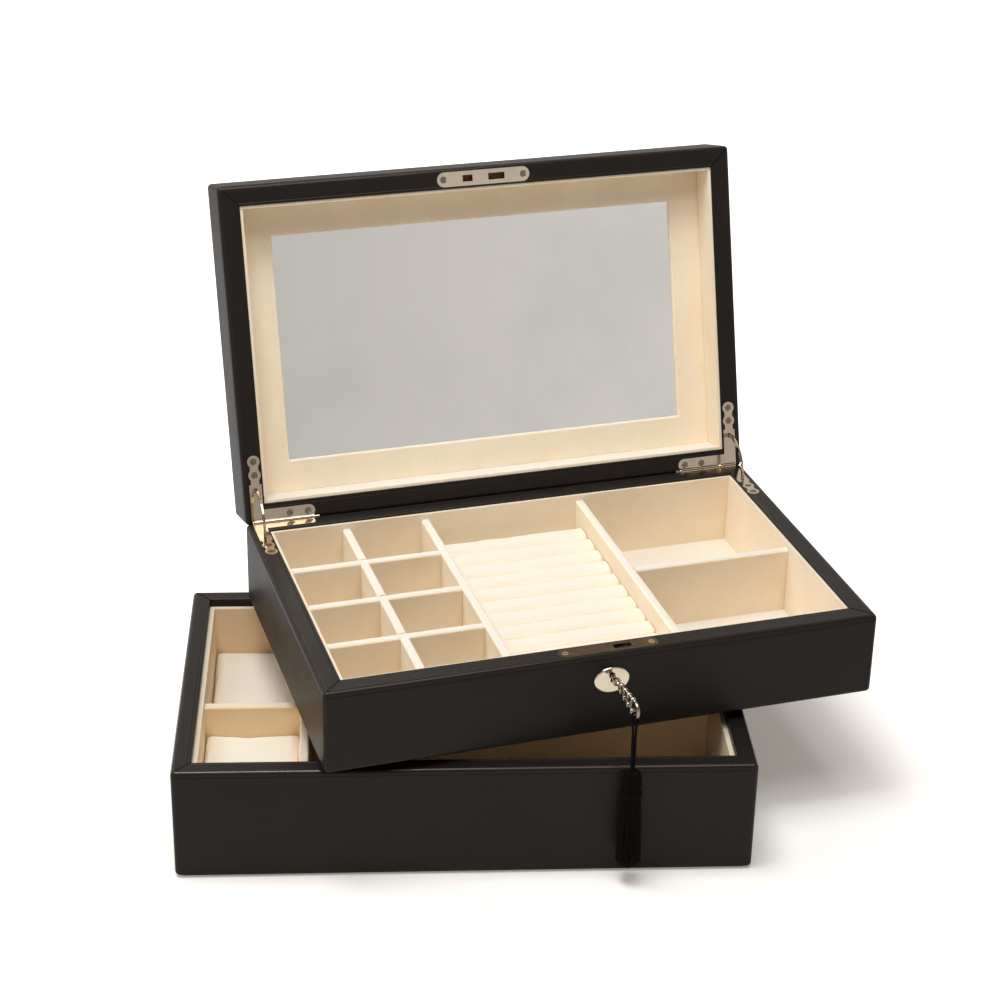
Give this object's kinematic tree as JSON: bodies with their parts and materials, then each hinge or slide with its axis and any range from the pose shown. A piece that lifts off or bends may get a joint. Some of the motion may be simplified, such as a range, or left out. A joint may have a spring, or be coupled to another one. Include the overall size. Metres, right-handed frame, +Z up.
{
  "type": "jewelry box",
  "caption": "Two-tier leather jewelry box: hinged mirror lid, divided upper tray with ring rolls and key lock, standing askew on a deeper lower tray.",
  "frame": {"origin": "centre of the lower tray's underside", "axes": "+X along the lower tray's width to the right, -Y towards its front, +Z up"},
  "size_m": [0.381, 0.3513, 0.3071],
  "materials": {
    "black_leather": "fine grain, satin",
    "black_felt": "short pile felt",
    "board": "raw fibreboard",
    "suede": "cream microsuede on card",
    "suede_pad": "cream microsuede on foam",
    "mirror": "silvered glass",
    "backing": "grey board",
    "nickel": "polished nickel plate",
    "brass_screw": "plated",
    "lock_steel": "pressed steel",
    "black_silk": "twisted rayon thread"
  },
  "bodies": {
    "lower_tray": {"base_felt": "black_felt", "front_cushion": "suede_pad", "lower_back_board": "board", "lower_bottom_panel": "board", "lower_cross_divider": "suede", "lower_floor_lining": "suede", "lower_front_board": "board", "lower_leather": "black_leather", "lower_left_board": "board", "lower_liner": "suede", "lower_long_divider": "suede", "lower_right_board": "board", "lower_side_divider": "suede", "rear_cushion": "suede_pad"},
    "upper_tray": {"cross_dividers": "suede", "escutcheon": "nickel", "grid_divider": "suede", "hinge_pins": "nickel", "left_ring_divider": "suede", "left_tray_leaf": "nickel", "lock_case": "lock_steel", "lock_plate": "nickel", "lock_screws": "brass_screw", "plinth": "black_leather", "right_ring_divider": "suede", "right_tray_leaf": "nickel", "ring_base": "suede_pad", "ring_rolls": "suede_pad", "tray_cross_divider": "suede", "tray_hinge_screws": "nickel", "upper_back_board": "board", "upper_bottom_panel": "board", "upper_floor_lining": "suede", "upper_front_board": "board", "upper_leather": "black_leather", "upper_left_board": "board", "upper_liner": "suede", "upper_right_board": "board"},
    "lid": {"left_lid_leaf": "nickel", "lid_back_board": "board", "lid_front_board": "board", "lid_leather": "black_leather", "lid_left_board": "board", "lid_liner": "suede", "lid_right_board": "board", "lid_screws": "nickel", "lid_top_panel": "board", "mirror": "mirror", "mirror_backing": "backing", "mirror_frame": "suede", "right_lid_leaf": "nickel", "strike_plate": "nickel"},
    "left_stay": {"left_stay": "nickel"},
    "right_stay": {"right_stay": "nickel"},
    "lock_hook": {"lock_hook": "lock_steel"},
    "key": {"key": "nickel"},
    "tassel_cord": {"tassel_cord": "black_silk"},
    "tassel": {"tassel_head": "black_silk", "tassel_skirt": "black_silk"}
  },
  "joints": [
    {"name": "upper_lift", "type": "slide", "parent": "lower_tray", "child": "upper_tray", "axis": [0, 0, 1], "range_m": [0, 0.09]},
    {"name": "lid_hinge", "type": "hinge", "parent": "upper_tray", "child": "lid", "pos_m": [0.02888, 0.118, 0.1201], "axis": [0.97, 0.2429, 0], "range_deg": [0, 105.6]},
    {"name": "left_stay_turn", "type": "hinge", "parent": "upper_tray", "child": "left_stay", "pos_m": [0.02888, 0.118, 0.1201], "axis": [0.97, 0.2429, 0], "range_deg": [0, 52.8]},
    {"name": "right_stay_turn", "type": "hinge", "parent": "upper_tray", "child": "right_stay", "pos_m": [0.02888, 0.118, 0.1201], "axis": [0.97, 0.2429, 0], "range_deg": [0, 52.8]},
    {"name": "key_turn", "type": "hinge", "parent": "upper_tray", "child": "lock_hook", "pos_m": [0.07579, -0.06437, 0.1073], "axis": [0.2429, -0.97, 0], "range_deg": [0, 60]},
    {"name": "key_pull", "type": "slide", "parent": "lock_hook", "child": "key", "axis": [0.2429, -0.97, 0], "range_m": [0, 0.02]},
    {"name": "cord_swing", "type": "hinge", "parent": "key", "child": "tassel_cord", "pos_m": [0.08636, -0.10656, 0.1035], "axis": [0.2429, -0.97, 0], "range_deg": [-60, 0]},
    {"name": "tassel_swing", "type": "hinge", "parent": "tassel_cord", "child": "tassel", "pos_m": [0.08636, -0.10656, 0.0656], "axis": [0, -1, 0], "range_deg": [-25, 25]}
  ],
  "couplings": [
    {"joint": "left_stay_turn", "follows": "lid_hinge", "ratio": 0.5},
    {"joint": "right_stay_turn", "follows": "lid_hinge", "ratio": 0.5},
    {"joint": "cord_swing", "follows": "key_turn", "ratio": -1}
  ]
}
